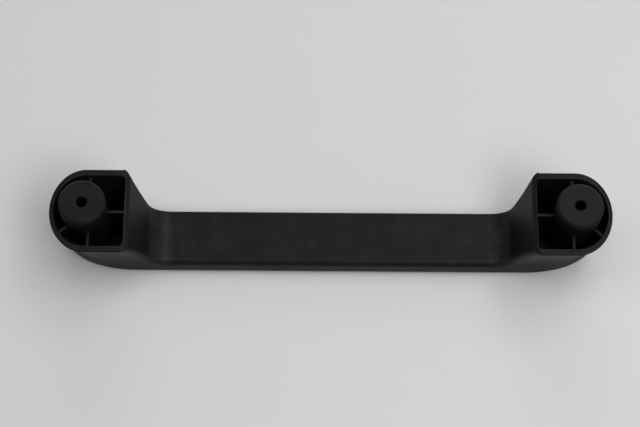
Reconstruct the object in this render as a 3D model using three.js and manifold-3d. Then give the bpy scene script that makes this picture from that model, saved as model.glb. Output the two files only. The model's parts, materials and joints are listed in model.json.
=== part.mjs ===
// A fixed pull handle for a car door: a hollow moulded body with two flared feet, a front cover that
// snaps over its open face, and two caps that close the screw wells.
//
// Millimetres, +Z up. The handle lies on its front face, which is the plane Z = 0, and its mounting
// side faces up. X runs along the handle, Y across it, and the origin is under the middle of the grip.

import * as THREE from 'three';
import { mergeVertices } from 'three/addons/utils/BufferGeometryUtils.js';
import Module from 'manifold-3d';

// ---- driving dimensions ------------------------------------------------------------------------

const FIXING_CENTRES = 200; // between the two screw axes

const RIM_LENGTH = 228.6; // over both feet, at the mounting rim
const RIM_WIDTH = 36.3;
const RIM_HEIGHT = 40; // front face to rim
const RIM_CURVE_START = 99.7; // where the straight sides of a foot turn into its round end

const FRONT_LENGTH = 217.4; // the same outline at the front face
const FRONT_WIDTH = 24; // kept up to the height of the grip's inner face
const FRONT_CURVE_START = 80.4;

const FLARE_CURVE = 1.5; // a foot widens faster the nearer it is to the rim
const FLARE_STEPS = 6;

const GRIP_THICKNESS = 10.5;
const WEB_TOP = 82.4; // where a web leaves the rim, from the middle of the handle
const WEB_LEAN = THREE.MathUtils.degToRad(16.7); // from upright
const WEB_FILLET = 9; // between a web and the grip

const BOSS_DIAMETER = 19;
const BOSS_HEIGHT = 49.4; // front face to the top of a boss, which stands proud of the rim
const BOSS_CHAMFER = 0.9;
const BOSS_END_WALL = 4;
const SCREW_HOLE = 4.5;
const SCREW_WELL = 9; // room for the screw's head and a driver
const TUBE_WALL = 1.6; // round the well, below the boss

const SIDE_WALL = 2.8;
const END_WALL = 1.9;
const SKIN = 2.5; // over the grip, under the pockets and behind the webs
const POCKET_START = 83.6;
const POCKET_WALL = 2; // between a pocket and the hollow behind its web
const HOLLOW_HEIGHT = 28; // how far up the hollow reaches behind a web

const RIB_THICKNESS = 1.3;
const RIB_DROP = 1.5; // from the rim down to the top of the ribs
const CROSS_RIB_X = 98.2; // the ribs to the long sides of a foot
const DIAGONAL_RIB_ANGLE = THREE.MathUtils.degToRad(42); // below the X axis, towards the near side

const COVER_HEIGHT = 5;
const COVER_FLOOR = 2;
const COVER_WALL = 2;
const COVER_ROUND = 2.8; // along the front edge
const GAP = 0.3; // between pieces that meet

const LIP_WALL = 1.8;
const CHANNEL_HALF_WIDTH = 7.8;
const GRIP_RIB_SPACING = 24;

const HOOK_SPACING = 36;
const HOOKS_PER_SIDE = 4;
const HOOK_LENGTH = 7;
const HOOK_THICKNESS = 1.3;
const HOOK_TOP = 7.2;
const HOOK_BARB = 0.7;
const BARB_HEIGHT = 1.8;

const CAP_DIAMETER = 10;
const CAP_THICKNESS = 1.8;
const CAP_SKIRT_LENGTH = 7;
const CAP_SKIRT_WALL = 1.1;
const CAP_BEAD = 0.15; // how far the snap bead stands out of the skirt
const CAP_BEAD_DROP = 1.6; // from the skirt's end to the bead
const CAP_BEAD_SLOPE = 0.6;
const CAP_RECESS = 0.2; // the cap's face lies this far inside the cover's
const CAP_CHAMFER = 0.4;

const OUTLINE_SEGMENTS = 64;
const ROUND_SEGMENTS = 48;
const FILLET_SEGMENTS = 14;
const COVER_ROUND_STEPS = 6;
const OVERLAP = 0.5; // how far joined solids reach into each other
const CLEAR = 1; // how far a cutting solid reaches past what it cuts

const SIDES = [-1, 1]; // left and right foot, or near and far side

// ---- solids ------------------------------------------------------------------------------------

const wasm = await Module();
wasm.setup();

// A closed geometry as a solid that can be joined and cut.
function solid(geometry) {
  const bare = geometry.index ? geometry.clone() : geometry;
  for (const name of Object.keys(bare.attributes)) {
    if (name !== 'position') bare.deleteAttribute(name);
  }
  const merged = mergeVertices(bare, 1e-4);
  return new wasm.Manifold(new wasm.Mesh({
    numProp: 3,
    vertProperties: new Float32Array(merged.attributes.position.array),
    triVerts: new Uint32Array(merged.index.array),
  }));
}

function join(solids) {
  return solids.reduce((sum, next) => sum.add(next));
}

function cut(body, tools) {
  return tools.reduce((rest, tool) => rest.subtract(tool), body);
}

function mesh(name, shape, material) {
  const { numProp, vertProperties, triVerts } = shape.getMesh();
  const geometry = new THREE.BufferGeometry();
  const positions = new Float32Array((vertProperties.length / numProp) * 3);
  for (let i = 0; i * numProp < vertProperties.length; i++) {
    positions.set(vertProperties.subarray(i * numProp, i * numProp + 3), i * 3);
  }
  geometry.setAttribute('position', new THREE.BufferAttribute(positions, 3));
  geometry.setIndex(new THREE.BufferAttribute(new Uint32Array(triVerts), 1));
  geometry.computeVertexNormals();
  const result = new THREE.Mesh(geometry, material);
  result.name = name;
  return result;
}

// A block between two corners.
function block(low, high) {
  const geometry = new THREE.BoxGeometry(high[0] - low[0], high[1] - low[1], high[2] - low[2]);
  geometry.translate((low[0] + high[0]) / 2, (low[1] + high[1]) / 2, (low[2] + high[2]) / 2);
  return solid(geometry);
}

// A round piece about a foot's screw axis, from [radius, height] pairs that start and end on the axis.
function turned(profile, x = 0) {
  const points = profile.map(([radius, height]) => new THREE.Vector2(radius, height));
  const geometry = new THREE.LatheGeometry(points, ROUND_SEGMENTS);
  geometry.rotateX(Math.PI / 2);
  geometry.translate(x, 0, 0);
  return solid(geometry);
}

function disc(diameter, bottom, top, x) {
  const radius = diameter / 2;
  return turned([[0, bottom], [radius, bottom], [radius, top], [0, top]], x);
}

// A side view, drawn in X and Z, carried right through the handle.
function throughWidth(shape, halfWidth) {
  const geometry = new THREE.ExtrudeGeometry(shape, {
    depth: 2 * halfWidth, bevelEnabled: false, curveSegments: FILLET_SEGMENTS,
  });
  geometry.rotateX(Math.PI / 2);
  geometry.translate(0, halfWidth, 0);
  return solid(geometry);
}

// The handle's outline at a height, drawn in by an inset: two straight sides with a rounded end each.
function outline(height, sideInset, endInset) {
  const rise = height / RIM_HEIGHT;
  const flare = Math.max(height - GRIP_THICKNESS, 0) / (RIM_HEIGHT - GRIP_THICKNESS);
  const curveStart = THREE.MathUtils.lerp(FRONT_CURVE_START, RIM_CURVE_START, rise);
  const halfLength = THREE.MathUtils.lerp(FRONT_LENGTH, RIM_LENGTH, rise) / 2;
  const halfWidth = THREE.MathUtils.lerp(FRONT_WIDTH, RIM_WIDTH, flare ** FLARE_CURVE) / 2;
  return { curveStart, endDepth: halfLength - endInset - curveStart, halfWidth: halfWidth - sideInset };
}

// The flared outer form, or one drawn inside it. Each row is [height, inset at sides, inset at ends].
function flared(rows) {
  const steps = rows.length - 1;
  const halfSegment = Math.PI / OUTLINE_SEGMENTS;
  const geometry = new THREE.CylinderGeometry(1, 1, steps, OUTLINE_SEGMENTS, steps, false, halfSegment);
  geometry.rotateX(Math.PI / 2);
  const position = geometry.attributes.position;
  const point = new THREE.Vector3();
  for (let i = 0; i < position.count; i++) {
    point.fromBufferAttribute(position, i);
    const [height, sideInset, endInset] = rows[Math.round(point.z + steps / 2)];
    const ring = outline(height, sideInset, endInset);
    const onAxis = Math.hypot(point.x, point.y) < 0.5;
    const start = onAxis ? 0 : Math.sign(point.x) * ring.curveStart;
    position.setXYZ(i, start + point.x * ring.endDepth, point.y * ring.halfWidth, height);
  }
  return solid(geometry);
}

// ---- side views --------------------------------------------------------------------------------

// The space under the hand: two leaning webs, two fillets and the inner face of the grip, all moved
// into the material by an offset.
function handSpace(offset) {
  const face = GRIP_THICKNESS - offset;
  const radius = WEB_FILLET + offset;
  const centreHeight = GRIP_THICKNESS + WEB_FILLET;
  const rise = centreHeight - RIM_HEIGHT;
  const centre = WEB_TOP - (WEB_FILLET - rise * Math.sin(WEB_LEAN)) / Math.cos(WEB_LEAN);
  const tangent = new THREE.Vector2(
    centre + radius * Math.cos(WEB_LEAN),
    centreHeight - radius * Math.sin(WEB_LEAN),
  );
  const top = BOSS_HEIGHT + CLEAR;
  const topHalf = tangent.x + (top - tangent.y) * Math.tan(WEB_LEAN);
  const shape = new THREE.Shape();
  shape.moveTo(-topHalf, top);
  shape.lineTo(-tangent.x, tangent.y);
  shape.absarc(-centre, centreHeight, radius, Math.PI + WEB_LEAN, 1.5 * Math.PI, false);
  shape.lineTo(centre, face);
  shape.absarc(centre, centreHeight, radius, 1.5 * Math.PI, 2 * Math.PI - WEB_LEAN, false);
  shape.lineTo(topHalf, top);
  shape.closePath();
  return shape;
}

// ---- body --------------------------------------------------------------------------------------

const lipBottom = COVER_FLOOR + GAP;
const bodyBottom = COVER_HEIGHT + GAP;
const pocketFloor = GRIP_THICKNESS;
const ribTop = RIM_HEIGHT - RIB_DROP;
const fixingX = FIXING_CENTRES / 2;

// Rows for a flared form between two heights, with enough of them to follow the curve of the feet.
function flareRows(low, high, sideInset, endInset) {
  const rows = low < GRIP_THICKNESS ? [[low, sideInset, endInset]] : [];
  const start = Math.max(low, GRIP_THICKNESS);
  for (let i = 0; i <= FLARE_STEPS; i++) {
    rows.push([THREE.MathUtils.lerp(start, high, i / FLARE_STEPS), sideInset, endInset]);
  }
  return rows;
}

// One foot's pocket: the flared form drawn in by the walls, from the floor up past the rim.
function pockets() {
  const aboveRim = RIM_HEIGHT + CLEAR;
  const inside = flared(flareRows(pocketFloor, aboveRim, SIDE_WALL, END_WALL));
  return SIDES.map((side) => {
    const ends = [side * POCKET_START, side * RIM_LENGTH].sort((a, b) => a - b);
    return inside.intersect(block([ends[0], -RIM_WIDTH, pocketFloor], [ends[1], RIM_WIDTH, aboveRim]));
  });
}

// The hollow that opens to the front: along the grip, up behind each web and under each pocket.
function frontHollow() {
  const wall = COVER_WALL + GAP + LIP_WALL;
  const hollowHalf = POCKET_START - POCKET_WALL;
  const underGrip = block(
    [-hollowHalf, -CHANNEL_HALF_WIDTH, -CLEAR],
    [hollowHalf, CHANNEL_HALF_WIDTH, HOLLOW_HEIGHT],
  ).subtract(throughWidth(handSpace(SKIN), RIM_WIDTH));
  const underPockets = flared([[0, wall, wall], [pocketFloor - SKIN, wall, wall]]).subtract(block(
    [-hollowHalf, -RIM_WIDTH, -CLEAR],
    [hollowHalf, RIM_WIDTH, pocketFloor],
  ));
  return [underGrip, underPockets];
}

// Thin walls that stiffen the grip's hollow, and join its roof to its sides.
function gripRibs() {
  const count = Math.floor((FRONT_CURVE_START - WEB_FILLET) / GRIP_RIB_SPACING);
  const ribs = [];
  for (let i = -count; i <= count; i++) {
    const x = i * GRIP_RIB_SPACING;
    ribs.push(block(
      [x - RIB_THICKNESS / 2, -CHANNEL_HALF_WIDTH - OVERLAP, lipBottom + CLEAR],
      [x + RIB_THICKNESS / 2, CHANNEL_HALF_WIDTH + OVERLAP, GRIP_THICKNESS - SKIN / 2],
    ));
  }
  return ribs;
}

// The tube that carries one screw, its ribs to the walls of the foot, and its lower end by the cover.
function footInside(side) {
  const x = side * fixingX;
  const radius = BOSS_DIAMETER / 2;
  const tube = SCREW_WELL / 2 + TUBE_WALL;
  const low = pocketFloor - SKIN / 2;
  const boss = turned([
    [0, lipBottom],
    [tube, lipBottom],
    [tube, low],
    [radius, low],
    [radius, BOSS_HEIGHT - BOSS_CHAMFER],
    [radius - BOSS_CHAMFER, BOSS_HEIGHT],
    [0, BOSS_HEIGHT],
  ], x);
  const half = RIB_THICKNESS / 2;
  const crossX = side * CROSS_RIB_X;
  const across = block([crossX - half, -RIM_WIDTH, low], [crossX + half, RIM_WIDTH, ribTop]);
  const innerEnds = [side * (POCKET_START - OVERLAP), x].sort((a, b) => a - b);
  const inward = block([innerEnds[0], -half, low], [innerEnds[1], half, ribTop]);
  const slanted = new THREE.BoxGeometry(RIM_WIDTH, RIB_THICKNESS, ribTop - low);
  slanted.translate(RIM_WIDTH / 2, 0, (ribTop + low) / 2);
  slanted.rotateZ(side > 0 ? -DIAGONAL_RIB_ANGLE : Math.PI + DIAGONAL_RIB_ANGLE);
  slanted.translate(x, 0, 0);
  const ribs = join([across, inward, solid(slanted)]);
  const within = flared(flareRows(low, RIM_HEIGHT, SIDE_WALL / 2, END_WALL / 2));
  return boss.add(ribs.intersect(within));
}

// The recesses in the channel's sides that the cover's hooks snap into.
function hookRecesses() {
  return hookPlaces().map(({ x, across }) => {
    const depth = HOOK_BARB + GAP;
    const ends = [across * (CHANNEL_HALF_WIDTH - CLEAR), across * (CHANNEL_HALF_WIDTH + depth)];
    ends.sort((a, b) => a - b);
    return block(
      [x - HOOK_LENGTH / 2 - GAP, ends[0], HOOK_TOP - BARB_HEIGHT - GAP],
      [x + HOOK_LENGTH / 2 + GAP, ends[1], HOOK_TOP + GAP],
    );
  });
}

function handleBody() {
  const lipInset = COVER_WALL + GAP;
  const outer = flared(flareRows(bodyBottom, RIM_HEIGHT, 0, 0));
  const lip = flared([[lipBottom, lipInset, lipInset], [bodyBottom + OVERLAP, lipInset, lipInset]]);
  const shell = cut(outer.add(lip), [
    throughWidth(handSpace(0), RIM_WIDTH),
    ...pockets(),
    ...frontHollow(),
  ]);
  const inside = flared(flareRows(lipBottom, BOSS_HEIGHT + CLEAR, lipInset, lipInset));
  const feet = SIDES.map((side) => footInside(side).intersect(inside));
  const ribbed = join([shell, ...gripRibs(), ...feet]);
  const wells = SIDES.map((side) => disc(SCREW_WELL, -CLEAR, BOSS_HEIGHT - BOSS_END_WALL, side * fixingX));
  const holes = SIDES.map((side) => disc(SCREW_HOLE, 0, BOSS_HEIGHT + CLEAR, side * fixingX));
  return cut(ribbed, [...wells, ...holes, ...hookRecesses()]);
}

// ---- front cover -------------------------------------------------------------------------------

function hookPlaces() {
  const places = [];
  for (let i = 0; i < HOOKS_PER_SIDE; i++) {
    const x = (i - (HOOKS_PER_SIDE - 1) / 2) * HOOK_SPACING;
    for (const across of SIDES) places.push({ x, across });
  }
  return places;
}

// A springy tongue that stands on the cover's floor, with a barb that faces the channel's side.
function hook({ x, across }) {
  const face = CHANNEL_HALF_WIDTH - GAP;
  const back = face - HOOK_THICKNESS;
  const shape = new THREE.Shape();
  shape.moveTo(back, COVER_FLOOR - OVERLAP);
  shape.lineTo(face, COVER_FLOOR - OVERLAP);
  shape.lineTo(face, HOOK_TOP - BARB_HEIGHT);
  shape.lineTo(face + HOOK_BARB, HOOK_TOP - BARB_HEIGHT);
  shape.lineTo(face, HOOK_TOP);
  shape.lineTo(back, HOOK_TOP);
  shape.closePath();
  const geometry = new THREE.ExtrudeGeometry(shape, { depth: HOOK_LENGTH, bevelEnabled: false });
  geometry.rotateX(Math.PI / 2);
  geometry.rotateZ(Math.PI / 2);
  if (across < 0) geometry.rotateZ(Math.PI);
  geometry.translate(x - (across * HOOK_LENGTH) / 2, 0, 0);
  return solid(geometry);
}

function frontCover() {
  const rows = [];
  for (let i = 0; i <= COVER_ROUND_STEPS; i++) {
    const angle = (i / COVER_ROUND_STEPS) * (Math.PI / 2);
    const inset = COVER_ROUND * (1 - Math.sin(angle));
    rows.push([COVER_ROUND * (1 - Math.cos(angle)), inset, inset]);
  }
  rows.push([COVER_HEIGHT, 0, 0]);
  const tray = flared([
    [COVER_FLOOR, COVER_WALL, COVER_WALL],
    [COVER_HEIGHT + CLEAR, COVER_WALL, COVER_WALL],
  ]);
  const shell = flared(rows).subtract(tray);
  const hole = CAP_DIAMETER + 2 * GAP;
  const holes = SIDES.map((side) => disc(hole, -CLEAR, COVER_FLOOR + CLEAR, side * fixingX));
  return join([cut(shell, holes), ...hookPlaces().map(hook)]);
}

// ---- screw cap ---------------------------------------------------------------------------------

// A flat disc in the cover's hole, with a skirt that snaps into the screw well.
function screwCap(side) {
  const radius = CAP_DIAMETER / 2;
  const skirt = SCREW_WELL / 2 - GAP - CAP_BEAD;
  const top = CAP_THICKNESS + CAP_SKIRT_LENGTH;
  const bead = top - CAP_BEAD_DROP;
  const inner = skirt - CAP_SKIRT_WALL;
  return turned([
    [0, CAP_RECESS],
    [radius - CAP_CHAMFER, CAP_RECESS],
    [radius, CAP_RECESS + CAP_CHAMFER],
    [radius, CAP_THICKNESS],
    [skirt, CAP_THICKNESS],
    [skirt, bead - CAP_BEAD_SLOPE],
    [skirt + CAP_BEAD, bead],
    [skirt, bead + CAP_BEAD_SLOPE],
    [skirt - CAP_CHAMFER, top],
    [inner, top],
    [inner, CAP_THICKNESS],
    [0, CAP_THICKNESS],
  ], side * fixingX);
}

// ---- materials and assembly --------------------------------------------------------------------

const grainedPlastic = new THREE.MeshStandardMaterial({ color: 0x1c1c1d, roughness: 0.5, metalness: 0 });
const coverPlastic = new THREE.MeshStandardMaterial({ color: 0x1e1e1f, roughness: 0.45, metalness: 0 });
const capPlastic = new THREE.MeshStandardMaterial({ color: 0x19191a, roughness: 0.55, metalness: 0 });

const handle = new THREE.Group();
handle.add(mesh('handle_body', handleBody(), grainedPlastic));
handle.add(mesh('front_cover', frontCover(), coverPlastic));
handle.add(mesh('left_screw_cap', screwCap(-1), capPlastic));
handle.add(mesh('right_screw_cap', screwCap(1), capPlastic));

export default handle;
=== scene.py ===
"""A car door's pull handle, lying on its front face with its mounting side up.

A hollow moulded body with two flared feet, a front cover that closes its underside, and two caps
that close the screw wells. Metres, +Z up, X along the handle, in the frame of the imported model.
"""

import bmesh
import bpy
import json
import math
from mathutils import Matrix, Vector


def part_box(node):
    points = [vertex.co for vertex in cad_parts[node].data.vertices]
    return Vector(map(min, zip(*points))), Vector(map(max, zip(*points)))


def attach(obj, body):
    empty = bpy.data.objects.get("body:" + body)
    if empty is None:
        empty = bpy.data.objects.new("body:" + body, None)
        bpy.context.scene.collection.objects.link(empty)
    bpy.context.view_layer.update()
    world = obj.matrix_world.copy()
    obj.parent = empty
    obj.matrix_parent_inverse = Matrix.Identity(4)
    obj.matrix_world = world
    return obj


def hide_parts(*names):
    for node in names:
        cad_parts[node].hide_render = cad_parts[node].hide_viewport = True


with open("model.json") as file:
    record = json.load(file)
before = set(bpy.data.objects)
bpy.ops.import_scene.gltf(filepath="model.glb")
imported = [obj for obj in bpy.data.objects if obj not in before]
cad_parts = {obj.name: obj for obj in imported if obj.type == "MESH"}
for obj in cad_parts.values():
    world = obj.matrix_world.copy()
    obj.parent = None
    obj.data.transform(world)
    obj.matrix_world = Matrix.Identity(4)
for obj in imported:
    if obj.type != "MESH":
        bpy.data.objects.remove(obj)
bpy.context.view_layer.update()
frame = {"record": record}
bpy.ops.object.select_all(action='DESELECT')

# ---- sizes -------------------------------------------------------------------------------------

body_low, body_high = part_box("handle_body")
cover_low, cover_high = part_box("front_cover")
mounts = {mount["name"]: mount["pos_m"] for mount in frame["record"]["mounts"]}

FIXING_X = mounts["right_boss_face"][0]
BOSS_TOP = mounts["right_boss_face"][2]
RIM_HEIGHT = mounts["right_rim"][2]

RIM_HALF_LENGTH = body_high.x
RIM_HALF_WIDTH = body_high.y
RIM_CURVE_START = 0.0997
FRONT_HALF_LENGTH = 0.1087
FRONT_HALF_WIDTH = cover_high.y
FRONT_CURVE_START = 0.0804
FLARE_CURVE = 1.5
FLARE_STEPS = 8

GRIP_THICKNESS = 0.0105
WEB_TOP = 0.0824
WEB_LEAN = math.radians(16.7)
WEB_FILLET = 0.009

BOSS_RADIUS = 0.0095
BOSS_CHAMFER = 0.0009
BOSS_END_WALL = 0.004
SCREW_HOLE_RADIUS = 0.00225
SCREW_WELL_RADIUS = 0.0045
SCREW_TUBE_WALL = 0.0016

SIDE_WALL = 0.0028
END_WALL = 0.0019
SKIN = 0.0025
POCKET_START = 0.0836
POCKET_MIDDLE = 0.096
POCKET_WALL = 0.002
POCKET_CORNER = 0.002
POCKET_FLOOR_ROUND = 0.001
HOLLOW_HEIGHT = 0.028
RIB_THICKNESS = 0.0013
RIB_DROP = 0.0015
CROSS_RIB_X = 0.0982
DIAGONAL_RIB_ANGLE = math.radians(42)

COVER_HEIGHT = 0.005
COVER_FLOOR = 0.002
COVER_WALL = 0.002
COVER_ROUND = 0.0028
GAP = 0.0003

LIP_BOTTOM = body_low.z
LIP_WALL = 0.0018
SEAM = 0.00012
BODY_BOTTOM = COVER_HEIGHT + SEAM
CHANNEL_HALF_WIDTH = 0.0078
GRIP_RIB_SPACING = 0.024
GRIP_RIBS_PER_SIDE = 2

HOOK_SPACING = 0.036
HOOKS_PER_SIDE = 4
HOOK_LENGTH = 0.007
HOOK_THICKNESS = 0.0013
HOOK_TOP = cover_high.z
HOOK_ROOT = 0.0005
HOOK_BARB = 0.0007
HOOK_BARB_HEIGHT = 0.0018

CAP_RADIUS = 0.005
CAP_BOTTOM = 0.0002
CAP_THICKNESS = 0.0018
CAP_SKIRT_LENGTH = 0.007
CAP_SKIRT_WALL = 0.0011
CAP_BEAD = 0.00015
CAP_ROUND = 0.0004

GRIP_ROUND = 0.0026
RIM_ROUND = 0.00095
MOUTH_ROUND = 0.00015
PART_LINE_ROUND = 0.0002
SOFT_EDGE = 0.0003

OUTLINE_STEPS = 128
ROUND_STEPS = 96
TINY = 0.000002
BEYOND = 0.001
CLEAR_OF_ROUND = 0.002

SIDES = (-1, 1)

# ---- working on a mesh -------------------------------------------------------------------------


def only(piece):
    """Makes one object the selected and active one."""
    bpy.ops.object.select_all(action='DESELECT')
    piece.select_set(True)
    bpy.context.view_layer.objects.active = piece


def edit(piece):
    only(piece)
    bpy.ops.object.mode_set(mode='EDIT')


def leave():
    bpy.ops.object.mode_set(mode='OBJECT')


def place(name):
    """Names the primitive that was just added, and puts its place into its mesh."""
    piece = bpy.context.object
    piece.name = piece.data.name = name
    bpy.ops.object.transform_apply(location=True, rotation=True, scale=True)
    return piece


def pick(piece, kind, test):
    """In edit mode, selects the faces, edges or verts that pass a test, and nothing else."""
    bpy.ops.mesh.select_mode(type=kind[:-1].upper())
    bpy.ops.mesh.select_all(action='DESELECT')
    shape = bmesh.from_edit_mesh(piece.data)
    for element in getattr(shape, kind):
        if test(element):
            element.select_set(True)
    shape.select_flush(True)
    bmesh.update_edit_mesh(piece.data)


def middle(edge):
    return (edge.verts[0].co + edge.verts[1].co) / 2


def between(edge, one_test, other_test):
    """True if one face of an edge passes the first test and the other face passes the second."""
    if len(edge.link_faces) != 2:
        return False
    one, other = (face.normal for face in edge.link_faces)
    return (one_test(one) and other_test(other)) or (one_test(other) and other_test(one))


def bevel(size, segments):
    bpy.ops.mesh.bevel(offset=size, offset_type='OFFSET', segments=segments, profile=0.5, clamp_overlap=False)


def round_edges(piece, size, segments, test):
    edit(piece)
    pick(piece, "edges", test)
    bevel(size, segments)
    leave()


def clean(piece):
    """Merges doubles and turns every face outwards."""
    edit(piece)
    bpy.ops.mesh.select_all(action='SELECT')
    bpy.ops.mesh.remove_doubles(threshold=TINY)
    bpy.ops.mesh.normals_make_consistent(inside=False)
    leave()


def combine(piece, tool, operation):
    """Joins, cuts or keeps the common part of a piece and a tool, and takes the tool away."""
    only(piece)
    change = piece.modifiers.new("combine", 'BOOLEAN')
    change.operation = operation
    change.solver = 'MANIFOLD'
    change.object = tool
    bpy.ops.object.modifier_apply(modifier=change.name)
    bpy.data.objects.remove(tool)


def join(piece, tool):
    combine(piece, tool, 'UNION')


def cut(piece, tool):
    combine(piece, tool, 'DIFFERENCE')


def finish_surface(piece, angle):
    """Smooth shading up to an angle, with normals that keep the flat faces flat."""
    clean(piece)
    only(piece)
    bpy.ops.object.shade_smooth_by_angle(angle=math.radians(angle))
    weighted = piece.modifiers.new("weighted normals", 'WEIGHTED_NORMAL')
    weighted.keep_sharp = True
    weighted.weight = 80
    bpy.ops.object.modifier_apply(modifier=weighted.name)


# ---- basic forms -------------------------------------------------------------------------------


def block(name, low, high):
    """A block between two corners."""
    low, high = Vector(map(min, low, high)), Vector(map(max, low, high))
    bpy.ops.object.select_all(action='DESELECT')
    bpy.ops.mesh.primitive_cube_add(size=1, location=(low + high) / 2, scale=high - low)
    return place(name)


def turned(name, x, profile):
    """A round piece about a foot's screw axis, from pairs of radius and height, closed at both ends."""
    radius, height = profile[0]
    bpy.ops.object.select_all(action='DESELECT')
    bpy.ops.mesh.primitive_circle_add(
        vertices=ROUND_STEPS, radius=radius, fill_type='NGON', location=(x, 0, height))
    piece = place(name)
    edit(piece)
    bpy.ops.mesh.select_mode(type='FACE')
    bpy.ops.mesh.select_all(action='SELECT')
    for next_radius, next_height in profile[1:]:
        bpy.ops.mesh.extrude_region_move(TRANSFORM_OT_translate={"value": (0, 0, next_height - height)})
        scale = next_radius / radius
        bpy.ops.transform.resize(value=(scale, scale, 1), center_override=(x, 0, next_height))
        radius, height = next_radius, next_height
    leave()
    clean(piece)
    return piece


def arc(radius, height, size, start, end, steps):
    """Pairs of radius and height along a round edge about a centre, from one angle to another."""
    turns = [math.radians(start + (end - start) * i / steps) for i in range(steps + 1)]
    return [(radius + size * math.cos(turn), height + size * math.sin(turn)) for turn in turns]


def blend(low, high, share):
    return low + (high - low) * share


def outline(height, side_inset, end_inset):
    """The handle's outline at a height: where its ends begin, how deep they are, and half its width."""
    rise = height / RIM_HEIGHT
    flare = max(height - GRIP_THICKNESS, 0) / (RIM_HEIGHT - GRIP_THICKNESS)
    start = blend(FRONT_CURVE_START, RIM_CURVE_START, rise)
    half_length = blend(FRONT_HALF_LENGTH, RIM_HALF_LENGTH, rise)
    half_width = blend(FRONT_HALF_WIDTH, RIM_HALF_WIDTH, flare ** FLARE_CURVE)
    return start, half_length - end_inset - start, half_width - side_inset


def lofted(name, rows):
    """A form that follows the handle's outline, from rows of height, side inset and end inset."""
    last_height = rows[0][0]
    bpy.ops.object.select_all(action='DESELECT')
    bpy.ops.mesh.primitive_circle_add(
        vertices=OUTLINE_STEPS, radius=1, fill_type='NGON',
        location=(0, 0, last_height), rotation=(0, 0, math.pi / OUTLINE_STEPS),
    )
    piece = place(name)
    edit(piece)
    last_start, last_depth, last_width = 0, 1, 1
    for row, (height, side_inset, end_inset) in enumerate(rows):
        if row > 0:
            pick(piece, "faces", lambda face: all(abs(v.co.z - last_height) < TINY for v in face.verts))
            bpy.ops.mesh.extrude_region_move(TRANSFORM_OT_translate={"value": (0, 0, height - last_height)})
        start, depth, width = outline(height, side_inset, end_inset)
        for side in SIDES:
            pick(piece, "verts", lambda v: v.co.x * side > 0 and abs(v.co.z - height) < TINY)
            bpy.ops.transform.resize(
                value=(depth / last_depth, width / last_width, 1),
                center_override=(side * last_start, 0, height),
            )
            bpy.ops.transform.translate(value=(side * (start - last_start), 0, 0))
        last_height, last_start, last_depth, last_width = height, start, depth, width
    leave()
    clean(piece)
    return piece


def flare_rows(low, high, side_inset, end_inset):
    """Rows with enough steps to follow the curved flare of the feet."""
    rows = [(low, side_inset, end_inset)]
    first = max(low, GRIP_THICKNESS) + CLEAR_OF_ROUND
    for step in range(FLARE_STEPS + 1):
        rows.append((blend(first, high, step / FLARE_STEPS), side_inset, end_inset))
    return rows


def round_rows(edge_height, size, up, steps):
    """Rows of a rounded edge that ends at a height, from the straight side inwards."""
    rows = []
    for step in range(steps + 1):
        turn = math.radians(90) * step / steps
        inset = size * (1 - math.cos(turn))
        rows.append((edge_height - up * size * (1 - math.sin(turn)), inset, inset))
    return rows


# ---- body --------------------------------------------------------------------------------------


def hand_space(offset):
    """A tool for the space under the hand: two leaning webs with a fillet each over the grip's face."""
    top = RIM_HEIGHT + 20 * BEYOND
    face = GRIP_THICKNESS - offset
    shift = offset / math.cos(WEB_LEAN)
    foot_x = WEB_TOP + shift - (RIM_HEIGHT - face) * math.tan(WEB_LEAN)
    top_x = WEB_TOP + shift + (top - RIM_HEIGHT) * math.tan(WEB_LEAN)
    tool = block("hand_space", (-foot_x, -2 * RIM_HALF_WIDTH, face), (foot_x, 2 * RIM_HALF_WIDTH, top))
    edit(tool)
    for side in SIDES:
        pick(tool, "verts", lambda v: v.co.x * side > 0 and v.co.z > face + TINY)
        bpy.ops.transform.translate(value=(side * (top_x - foot_x), 0, 0))
    pick(tool, "edges", lambda edge: middle(edge).z < face + TINY and abs(middle(edge).x) > foot_x - TINY)
    corner = math.pi / 2 - WEB_LEAN
    bevel((WEB_FILLET + offset) * math.tan(corner / 2), 24)
    leave()
    return tool


def pocket(side):
    """A tool for the space inside one foot, with rounded corners beside its web and round its floor."""
    rows = flare_rows(GRIP_THICKNESS, RIM_HEIGHT + BEYOND, SIDE_WALL, END_WALL)
    tool = lofted("pocket", rows)
    edit(tool)
    bpy.ops.mesh.select_all(action='SELECT')
    bpy.ops.mesh.bisect(
        plane_co=(side * POCKET_START, 0, 0), plane_no=(side, 0, 0), use_fill=True, clear_inner=True,
    )
    pick(tool, "edges", lambda edge: between(
        edge, lambda n: n.x * side < -0.99, lambda n: abs(n.y) > 0.8))
    bevel(POCKET_CORNER, 6)
    pick(tool, "edges", lambda edge: between(
        edge, lambda n: n.z < -0.99, lambda n: abs(n.z) < 0.6))
    bevel(POCKET_FLOOR_ROUND, 3)
    leave()
    return tool


def grip_hollow():
    """A tool for the channel along the grip, which reaches up behind each web."""
    half = POCKET_START - POCKET_WALL
    tool = block(
        "grip_hollow",
        (-half, -CHANNEL_HALF_WIDTH, -BEYOND),
        (half, CHANNEL_HALF_WIDTH, HOLLOW_HEIGHT),
    )
    cut(tool, hand_space(SKIN))
    return tool


def foot_hollow(side):
    """A tool for the shallow hollow under one pocket."""
    wall = COVER_WALL + GAP + LIP_WALL
    tool = lofted("foot_hollow", [(0, wall, wall), (GRIP_THICKNESS - SKIN, wall, wall)])
    half = POCKET_START - POCKET_WALL
    edit(tool)
    bpy.ops.mesh.select_all(action='SELECT')
    bpy.ops.mesh.bisect(plane_co=(side * half, 0, 0), plane_no=(side, 0, 0), use_fill=True, clear_inner=True)
    leave()
    return tool


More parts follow.
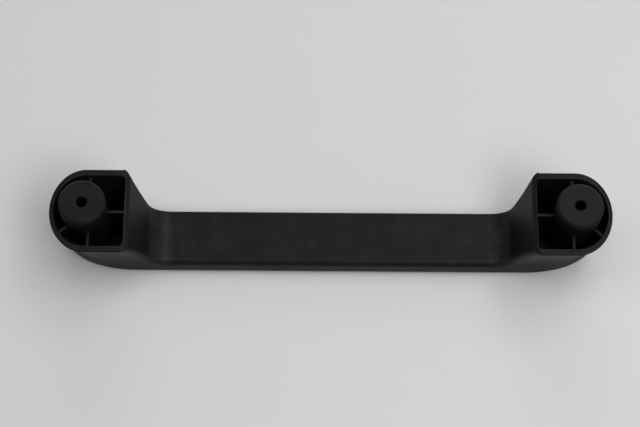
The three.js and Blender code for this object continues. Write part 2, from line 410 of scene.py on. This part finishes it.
def grip_ribs():
    """Thin walls across the grip's channel."""
    ribs = None
    for step in range(-GRIP_RIBS_PER_SIDE, GRIP_RIBS_PER_SIDE + 1):
        x = step * GRIP_RIB_SPACING
        rib = block(
            "grip_rib",
            (x - RIB_THICKNESS / 2, -CHANNEL_HALF_WIDTH - BEYOND, LIP_BOTTOM + BEYOND),
            (x + RIB_THICKNESS / 2, CHANNEL_HALF_WIDTH + BEYOND, GRIP_THICKNESS - SKIN / 2),
        )
        if ribs:
            join(ribs, rib)
        else:
            ribs = rib
    return ribs


def foot_ribs(side):
    """The thin walls that hold a screw tube in its foot, with rounded tops."""
    x = side * FIXING_X
    half = RIB_THICKNESS / 2
    low, high = GRIP_THICKNESS - SKIN / 2, RIM_HEIGHT - RIB_DROP
    cross_x = side * CROSS_RIB_X
    across = block("rib", (cross_x - half, -RIM_HALF_WIDTH, low), (cross_x + half, RIM_HALF_WIDTH, high))
    inward = block("rib", (side * (POCKET_START - BEYOND), -half, low), (x, half, high))
    angle = -DIAGONAL_RIB_ANGLE if side > 0 else math.pi + DIAGONAL_RIB_ANGLE
    reach = RIM_HALF_WIDTH
    bpy.ops.object.select_all(action='DESELECT')
    bpy.ops.mesh.primitive_cube_add(
        size=1,
        location=(x + reach * math.cos(angle), reach * math.sin(angle), (low + high) / 2),
        rotation=(0, 0, angle),
        scale=(2 * reach, RIB_THICKNESS, high - low),
    )
    slanted = place("rib")
    ribs = across
    for rib in (across, inward, slanted):
        round_edges(rib, SOFT_EDGE, 2, lambda edge: between(
            edge, lambda n: n.z > 0.99, lambda n: abs(n.z) < 0.01))
    join(ribs, inward)
    join(ribs, slanted)
    within = lofted("within", flare_rows(low, RIM_HEIGHT, SIDE_WALL / 2, END_WALL / 2))
    combine(ribs, within, 'INTERSECT')
    return ribs


def screw_tube(side):
    """The tube that carries one screw. Its end stands proud of the rim and has a chamfer."""
    tube = SCREW_WELL_RADIUS + SCREW_TUBE_WALL
    shoulder = GRIP_THICKNESS - SKIN / 2
    profile = [(tube, LIP_BOTTOM + TINY * 10), (tube, shoulder), (BOSS_RADIUS, shoulder)]
    profile += arc(
        BOSS_RADIUS - SOFT_EDGE, BOSS_TOP - BOSS_CHAMFER - SOFT_EDGE / 2, SOFT_EDGE, 0, 45, 3)
    profile += arc(
        BOSS_RADIUS - BOSS_CHAMFER - SOFT_EDGE / 2, BOSS_TOP - SOFT_EDGE, SOFT_EDGE, 45, 90, 3)
    return turned("screw_tube", side * FIXING_X, profile)


def screw_way(side):
    """A tool for the well that takes the screw's head, and the hole that its shank goes through."""
    well_top = BOSS_TOP - BOSS_END_WALL
    return turned("screw_way", side * FIXING_X, [
        (SCREW_WELL_RADIUS, -BEYOND),
        (SCREW_WELL_RADIUS, well_top),
        (SCREW_HOLE_RADIUS, well_top),
        (SCREW_HOLE_RADIUS, BOSS_TOP - SOFT_EDGE),
        (SCREW_HOLE_RADIUS + SOFT_EDGE + BEYOND, BOSS_TOP + BEYOND),
    ])


def hook_places():
    """X and side of every hook on the cover."""
    first = -HOOK_SPACING * (HOOKS_PER_SIDE - 1) / 2
    return [(first + i * HOOK_SPACING, across) for i in range(HOOKS_PER_SIDE) for across in SIDES]


def hook_recess(x, across):
    """A tool for the recess that one hook catches in."""
    reach = HOOK_LENGTH / 2 + GAP
    open_side = across * (CHANNEL_HALF_WIDTH - BEYOND)
    closed_side = across * (CHANNEL_HALF_WIDTH + HOOK_BARB + GAP)
    return block(
        "hook_recess",
        (x - reach, open_side, HOOK_TOP - HOOK_BARB_HEIGHT - GAP),
        (x + reach, closed_side, HOOK_TOP + GAP),
    )


def round_grip_edges(body):
    """Rounds the long edges of the grip and the sides of both webs in one run."""
    round_edges(body, GRIP_ROUND, 6, lambda edge: (
        GRIP_THICKNESS - TINY < middle(edge).z < RIM_HEIGHT - TINY
        and abs(middle(edge).x) < WEB_TOP + BEYOND
        and between(edge, lambda n: abs(n.y) < 0.1, lambda n: abs(n.y) > 0.5)))


def is_rim_edge(edge, inner):
    """True for the edges of the flat rim: round a pocket's mouth, or round the outside of a foot."""
    if abs(middle(edge).z - RIM_HEIGHT) > TINY or not between(
            edge, lambda n: n.z > 0.99, lambda n: n.z < 0.9):
        return False
    wall = min((face.normal for face in edge.link_faces), key=lambda n: n.z)
    centre = Vector((math.copysign(POCKET_MIDDLE, middle(edge).x), 0, RIM_HEIGHT))
    return ((centre - middle(edge)).dot(wall) > 0) == inner


def round_rim(body):
    """Rounds the outer edge of the mounting rim, and eases the mouth of each pocket."""
    round_edges(body, RIM_ROUND, 5, lambda edge: is_rim_edge(edge, False))
    round_edges(body, MOUTH_ROUND, 2, lambda edge: is_rim_edge(edge, True))


def build_body():
    lip_inset = COVER_WALL + GAP
    rows = round_rows(BODY_BOTTOM, PART_LINE_ROUND, -1, 2)[::-1]
    rows += flare_rows(GRIP_THICKNESS, RIM_HEIGHT, 0, 0)[1:]
    body = lofted("body_moulding", rows)
    cut(body, hand_space(0))
    round_grip_edges(body)
    lip = [(height, lip_inset, lip_inset) for height in (LIP_BOTTOM, BODY_BOTTOM + BEYOND)]
    join(body, lofted("lip", lip))
    for side in SIDES:
        cut(body, pocket(side))
    cut(body, grip_hollow())
    join(body, grip_ribs())
    for side in SIDES:
        cut(body, foot_hollow(side))
        join(body, screw_tube(side))
        join(body, foot_ribs(side))
        cut(body, screw_way(side))
    for x, across in hook_places():
        cut(body, hook_recess(x, across))
    clean(body)
    round_rim(body)
    finish_surface(body, 32)
    return body


# ---- front cover -------------------------------------------------------------------------------


def hook(x, across):
    """A springy tongue on the cover's floor, with a barb that faces the channel's side."""
    face = CHANNEL_HALF_WIDTH - GAP
    barb_low = HOOK_TOP - HOOK_BARB_HEIGHT
    tongue = block(
        "hook",
        (x - HOOK_LENGTH / 2, across * (face - HOOK_THICKNESS), COVER_FLOOR - HOOK_ROOT),
        (x + HOOK_LENGTH / 2, across * face, HOOK_TOP),
    )
    edit(tongue)
    bpy.ops.mesh.select_all(action='SELECT')
    bpy.ops.mesh.bisect(plane_co=(x, 0, barb_low), plane_no=(0, 0, 1))
    pick(tongue, "faces", lambda f: f.normal.y * across > 0.9 and f.calc_center_median().z > barb_low)
    bpy.ops.mesh.extrude_region_move(TRANSFORM_OT_translate={"value": (0, across * HOOK_BARB, 0)})
    pick(tongue, "verts", lambda v: v.co.z > HOOK_TOP - TINY and v.co.y * across > face + HOOK_BARB - TINY)
    bpy.ops.transform.translate(value=(0, -across * HOOK_BARB, 0))
    leave()
    clean(tongue)
    return tongue


def build_cover():
    rows = round_rows(0, COVER_ROUND, -1, 9)[::-1] + round_rows(COVER_HEIGHT, PART_LINE_ROUND, 1, 2)
    cover = lofted("cover_moulding", rows)
    tray = [(height, COVER_WALL, COVER_WALL) for height in (COVER_FLOOR, COVER_HEIGHT + BEYOND)]
    cut(cover, lofted("tray", tray))
    ease = CAP_BOTTOM
    hole = CAP_RADIUS + GAP
    for side in SIDES:
        cut(cover, turned("cap_hole", side * FIXING_X, [
            (hole + ease + BEYOND, -BEYOND), (hole, ease), (hole, COVER_FLOOR + BEYOND),
        ]))
    for x, across in hook_places():
        join(cover, hook(x, across))
    finish_surface(cover, 32)
    return cover


# ---- screw caps --------------------------------------------------------------------------------


def build_cap(side):
    """A flat disc in the cover's hole, with a slotted skirt whose bead grips the screw well."""
    x = side * FIXING_X
    skirt = SCREW_WELL_RADIUS - GAP - CAP_BEAD
    top = CAP_THICKNESS + CAP_SKIRT_LENGTH
    inner = skirt - CAP_SKIRT_WALL
    ease = CAP_ROUND
    profile = arc(CAP_RADIUS - ease, CAP_BOTTOM + ease, ease, -90, 0, 5)
    profile += [(CAP_RADIUS, CAP_THICKNESS), (skirt, CAP_THICKNESS)]
    profile += arc(skirt, top - 4 * ease, CAP_BEAD, -60, 60, 4)
    profile += arc(skirt - ease, top - ease, ease, 0, 90, 3)
    profile += [(inner, top), (inner, CAP_THICKNESS + CAP_BOTTOM)]
    cap = turned("left_cap" if side < 0 else "right_cap", x, profile)
    slot_half = ease
    slot_low = CAP_THICKNESS + BEYOND
    cut(cap, block("slot", (x - CAP_RADIUS, -slot_half, slot_low), (x + CAP_RADIUS, slot_half, top + BEYOND)))
    cut(cap, block("slot", (x - slot_half, -CAP_RADIUS, slot_low), (x + slot_half, CAP_RADIUS, top + BEYOND)))
    finish_surface(cap, 32)
    return cap


# ---- shader groups -----------------------------------------------------------------------------


class Nodes:
    """Adds nodes to a material or a group, and links them."""

    def __init__(self, tree):
        self.tree = tree

    def add(self, kind, **settings):
        node = self.tree.nodes.new(kind)
        for name, value in settings.items():
            setattr(node, name, value)
        return node

    def link(self, source, target):
        self.tree.links.new(source, target)

    def math(self, operation, first, second):
        """A Math node on two values, each a socket or a number."""
        node = self.add('ShaderNodeMath', operation=operation)
        for value, socket in zip((first, second), node.inputs):
            if isinstance(value, bpy.types.NodeSocket):
                self.link(value, socket)
            else:
                socket.default_value = value
        return node.outputs[0]

    def noise(self, vector, scale, detail, roughness):
        node = self.add('ShaderNodeTexNoise')
        self.link(vector, node.inputs["Vector"])
        if isinstance(scale, bpy.types.NodeSocket):
            self.link(scale, node.inputs["Scale"])
        else:
            node.inputs["Scale"].default_value = scale
        node.inputs["Detail"].default_value = detail
        node.inputs["Roughness"].default_value = roughness
        return node.outputs["Fac"]

    def remap(self, value, low, high, new_low, new_high):
        node = self.add('ShaderNodeMapRange')
        self.link(value, node.inputs["Value"])
        for name, number in zip(("From Min", "From Max", "To Min", "To Max"), (low, high, new_low, new_high)):
            node.inputs[name].default_value = number
        return node.outputs["Result"]

    def stretched(self, vector, scale, turn):
        """A vector squeezed along its axes and turned about Z, for marks that run one way."""
        node = self.add('ShaderNodeMapping')
        self.link(vector, node.inputs["Vector"])
        node.inputs["Rotation"].default_value = (0, 0, turn)
        node.inputs["Scale"].default_value = scale
        return node.outputs["Vector"]


def new_group(name, inputs, outputs):
    """A shader group with float or vector inputs, as name: default, and float outputs."""
    tree = bpy.data.node_groups.new(name, 'ShaderNodeTree')
    for label, default in inputs.items():
        kind = 'NodeSocketVector' if default is None else 'NodeSocketFloat'
        socket = tree.interface.new_socket(name=label, in_out='INPUT', socket_type=kind)
        if default is not None:
            socket.default_value = default
    for label in outputs:
        tree.interface.new_socket(name=label, in_out='OUTPUT', socket_type='NodeSocketFloat')
    nodes = Nodes(tree)
    return nodes, nodes.add('NodeGroupInput').outputs, nodes.add('NodeGroupOutput').inputs


def make_grain():
    """Fine spark-eroded mould grain: small rounded pits with a coarser swell under them."""
    nodes, given, made = new_group("mould_grain", {"Vector": None, "Scale": 2600.0}, ["Height", "Tone"])
    fine = nodes.noise(given["Vector"], given["Scale"], 2.0, 0.55)
    coarse_scale = nodes.math('MULTIPLY', given["Scale"], 0.33)
    coarse = nodes.noise(given["Vector"], coarse_scale, 3.0, 0.6)
    pits = nodes.remap(fine, 0.3, 0.7, 0.0, 1.0)
    swell = nodes.remap(coarse, 0.25, 0.75, 0.0, 1.0)
    height = nodes.math('ADD', nodes.math('MULTIPLY', pits, 0.7), nodes.math('MULTIPLY', swell, 0.5))
    nodes.link(height, made["Height"])
    nodes.link(swell, made["Tone"])
    return nodes.tree


def make_edge_wear():
    """Where a surface turns sharply outwards, broken up so that the polish isn't even."""
    nodes, given, made = new_group("edge_wear", {"Vector": None, "Reach": 0.0008, "Amount": 1.0}, ["Mask"])
    rounded = nodes.add('ShaderNodeBevel', samples=6)
    nodes.link(given["Reach"], rounded.inputs["Radius"])
    surface = nodes.add('ShaderNodeNewGeometry')
    turn = nodes.add('ShaderNodeVectorMath', operation='DOT_PRODUCT')
    nodes.link(rounded.outputs["Normal"], turn.inputs[0])
    nodes.link(surface.outputs["Normal"], turn.inputs[1])
    edge = nodes.remap(turn.outputs["Value"], 0.995, 0.9, 0.0, 1.0)
    patches = nodes.remap(nodes.noise(given["Vector"], 160.0, 4.0, 0.6), 0.35, 0.65, 0.25, 1.0)
    mask = nodes.math('MULTIPLY', nodes.math('MULTIPLY', edge, patches), given["Amount"])
    nodes.link(mask, made["Mask"])
    return nodes.tree


def make_handling():
    """Soft uneven polish from hands, and faint hair scratches along the handle."""
    nodes, given, made = new_group("handling", {"Vector": None, "Scratches": 1.0}, ["Polish", "Scratch"])
    polish = nodes.remap(nodes.noise(given["Vector"], 55.0, 5.0, 0.6), 0.3, 0.7, 0.0, 1.0)
    lines = None
    for turn, run in ((0.12, 900.0), (-0.35, 1300.0)):
        vector = nodes.stretched(given["Vector"], (0.03, 1.0, 0.6), turn)
        thin = nodes.remap(nodes.noise(vector, run, 2.0, 0.5), 0.69, 0.73, 0.0, 1.0)
        lines = nodes.math('MAXIMUM', lines, thin) if lines else thin
    patches = nodes.remap(nodes.noise(given["Vector"], 90.0, 2.0, 0.5), 0.5, 0.7, 0.0, 1.0)
    scratch = nodes.math('MULTIPLY', nodes.math('MULTIPLY', lines, patches), given["Scratches"])
    nodes.link(polish, made["Polish"])
    nodes.link(scratch, made["Scratch"])
    return nodes.tree


def make_dust():
    """Pale specks and a thin film, thicker where the surface faces up."""
    nodes, given, made = new_group("dust", {"Vector": None, "Amount": 1.0}, ["Mask"])
    surface = nodes.add('ShaderNodeNewGeometry')
    parts = nodes.add('ShaderNodeSeparateXYZ')
    nodes.link(surface.outputs["Normal"], parts.inputs[0])
    facing = nodes.remap(parts.outputs["Z"], 0.2, 1.0, 0.15, 1.0)
    film = nodes.remap(nodes.noise(given["Vector"], 120.0, 6.0, 0.65), 0.4, 0.75, 0.0, 0.35)
    specks = nodes.remap(nodes.noise(given["Vector"], 1500.0, 1.0, 0.5), 0.74, 0.8, 0.0, 1.0)
    mask = nodes.math('MULTIPLY', nodes.math('MAXIMUM', film, specks), facing)
    nodes.link(nodes.math('MULTIPLY', mask, given["Amount"]), made["Mask"])
    return nodes.tree


GROUPS = {
    "grain": make_grain(),
    "edge_wear": make_edge_wear(),
    "handling": make_handling(),
    "dust": make_dust(),
}

# ---- materials ---------------------------------------------------------------------------------


def use_group(nodes, name, vector, **values):
    """Places a shared group in a material, on its coordinates and with its own values."""
    node = nodes.add('ShaderNodeGroup', node_tree=GROUPS[name])
    nodes.link(vector, node.inputs["Vector"])
    for label, value in values.items():
        node.inputs[label].default_value = value
    return node.outputs


def tint(nodes, base, colour, mask, strength):
    """Mixes a colour over a base by a mask."""
    node = nodes.add('ShaderNodeMix', data_type='RGBA')
    nodes.link(nodes.math('MULTIPLY', mask, strength), node.inputs["Factor"])
    for value, socket in zip((base, colour), (node.inputs[6], node.inputs[7])):
        if isinstance(value, bpy.types.NodeSocket):
            nodes.link(value, socket)
        else:
            socket.default_value = (*value, 1)
    return node.outputs[2]


def black_plastic(name, dark, light, roughness, grain_scale, grain_depth, wear, scratches, dust):
    """Moulded black plastic with a fine grain, polished edges, handling marks and a little dust."""
    material = bpy.data.materials.new(name)
    material.use_nodes = True
    nodes = Nodes(material.node_tree)
    shader = material.node_tree.nodes["Principled BSDF"]
    vector = nodes.add('ShaderNodeTexCoord').outputs["Object"]
    grain = use_group(nodes, "grain", vector, Scale=grain_scale)
    worn = use_group(nodes, "edge_wear", vector, Amount=wear)
    handling = use_group(nodes, "handling", vector, Scratches=scratches)
    dusty = use_group(nodes, "dust", vector, Amount=dust)

    colour = tint(nodes, dark, light, grain["Tone"], 1.0)
    colour = tint(nodes, colour, (0.045, 0.045, 0.047), worn["Mask"], 0.45)
    colour = tint(nodes, colour, (0.06, 0.06, 0.062), handling["Scratch"], 0.5)
    colour = tint(nodes, colour, (0.28, 0.27, 0.25), dusty["Mask"], 0.12)
    nodes.link(colour, shader.inputs["Base Color"])

    polish = nodes.math('MULTIPLY', handling["Polish"], 0.07)
    smooth = nodes.math('ADD', polish, nodes.math('MULTIPLY', worn["Mask"], 0.12))
    rough = nodes.math('ADD', nodes.math('SUBTRACT', roughness, smooth), nodes.math(
        'MULTIPLY', dusty["Mask"], 0.2))
    nodes.link(rough, shader.inputs["Roughness"])

    relief = nodes.math('SUBTRACT', grain["Height"], nodes.math('MULTIPLY', handling["Scratch"], 0.8))
    bump = nodes.add('ShaderNodeBump')
    bump.inputs["Strength"].default_value = 1.0
    bump.inputs["Distance"].default_value = grain_depth
    nodes.link(relief, bump.inputs["Height"])
    nodes.link(bump.outputs["Normal"], shader.inputs["Normal"])
    shader.inputs["IOR"].default_value = 1.46
    shader.inputs["Specular IOR Level"].default_value = 0.15
    return material


def body_plastic():
    return black_plastic(
        "body_plastic", (0.0034, 0.0034, 0.0035), (0.0050, 0.0050, 0.0052), 0.53,
        2600.0, 0.000010, wear=0.8, scratches=0.7, dust=0.5,
    )


def cover_plastic():
    return black_plastic(
        "cover_plastic", (0.0040, 0.0040, 0.0041), (0.0058, 0.0058, 0.0060), 0.48,
        2600.0, 0.000008, wear=1.0, scratches=1.0, dust=0.3,
    )


def cap_plastic():
    return black_plastic(
        "cap_plastic", (0.0034, 0.0034, 0.0035), (0.0048, 0.0048, 0.0049), 0.56,
        3200.0, 0.000008, wear=0.7, scratches=0.5, dust=0.3,
    )


def floor_material():
    material = bpy.data.materials.new("pale_floor")
    material.use_nodes = True
    nodes = Nodes(material.node_tree)
    shader = material.node_tree.nodes["Principled BSDF"]
    vector = nodes.add('ShaderNodeTexCoord').outputs["Object"]
    patches = nodes.noise(vector, 9.0, 4.0, 0.6)
    colour = tint(nodes, (0.60, 0.60, 0.602), (0.62, 0.62, 0.622), patches, 1.0)
    nodes.link(colour, shader.inputs["Base Color"])
    shader.inputs["Roughness"].default_value = 0.9
    shader.inputs["Specular IOR Level"].default_value = 0.1
    return material


# ---- studio ------------------------------------------------------------------------------------


def lay_floor():
    bpy.ops.object.select_all(action='DESELECT')
    bpy.ops.mesh.primitive_plane_add(size=4, location=(0, 0, 0))
    floor = place("floor")
    floor.data.materials.append(floor_material())


def soft_light(name, place_at, power):
    """A square soft box that faces the middle of the handle."""
    bpy.ops.object.light_add(type='AREA', location=place_at)
    light = bpy.context.object
    light.name = name
    light.data.shape = 'SQUARE'
    light.data.size = 0.6
    light.data.energy = power
    light.rotation_euler = (-Vector(place_at)).to_track_quat('-Z', 'Y').to_euler()


def light_studio():
    for name, place_at, power in (
        ("key_light", (0.5, -0.6, 1.2), 7.4),
        ("right_light", (0.6, 0, 1.3), 4.1),
        ("top_light", (0, 0, 1.45), 3.4),
        ("left_light", (-0.6, 0, 1.3), 2.6),
        ("back_light", (0, 1.3, 0.7), 2.6),
        ("right_back_light", (0.5, 0.6, 1.2), 3.6),
        ("low_right_light", (1.15, 0, 0.8), 1.4),
    ):
        soft_light(name, place_at, power)
    world = bpy.data.worlds.new("studio")
    bpy.context.scene.world = world
    world.use_nodes = True
    nodes = Nodes(world.node_tree)
    direction = nodes.add('ShaderNodeSeparateXYZ')
    nodes.link(nodes.add('ShaderNodeTexCoord').outputs["Generated"], direction.inputs[0])
    strength = nodes.remap(direction.outputs["Z"], 0.0, 0.5, 0.6, 0.03)
    background = world.node_tree.nodes["Background"]
    background.inputs["Color"].default_value = (1, 1, 1, 1)
    nodes.link(strength, background.inputs["Strength"])


def aim_camera():
    elevation = math.radians(68.7)
    roll = 0.0074
    distance = 0.8328
    target = Vector((-0.00440, 0.00788, 0.018))
    back = Vector((0, -math.cos(elevation), math.sin(elevation)))
    bpy.ops.object.camera_add()
    camera = bpy.context.object
    camera.data.sensor_width = 36
    camera.data.lens = 112.5
    camera.matrix_world = (
        Matrix.Translation(target + back * distance)
        @ Matrix.Rotation(math.pi / 2 - elevation, 4, 'X')
        @ Matrix.Rotation(roll, 4, 'Z')
    )
    bpy.context.scene.camera = camera


# ---- assembly ----------------------------------------------------------------------------------


def fit(piece, node, material):
    """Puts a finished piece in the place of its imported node."""
    piece.data.materials.clear()
    piece.data.materials.append(material)
    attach(piece, "root")
    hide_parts(node)


fit(build_body(), "handle_body", body_plastic())
fit(build_cover(), "front_cover", cover_plastic())
shared_cap_plastic = cap_plastic()
fit(build_cap(-1), "left_screw_cap", shared_cap_plastic)
fit(build_cap(1), "right_screw_cap", shared_cap_plastic)

lay_floor()
light_studio()
aim_camera()
bpy.context.scene.view_settings.view_transform = 'Standard'
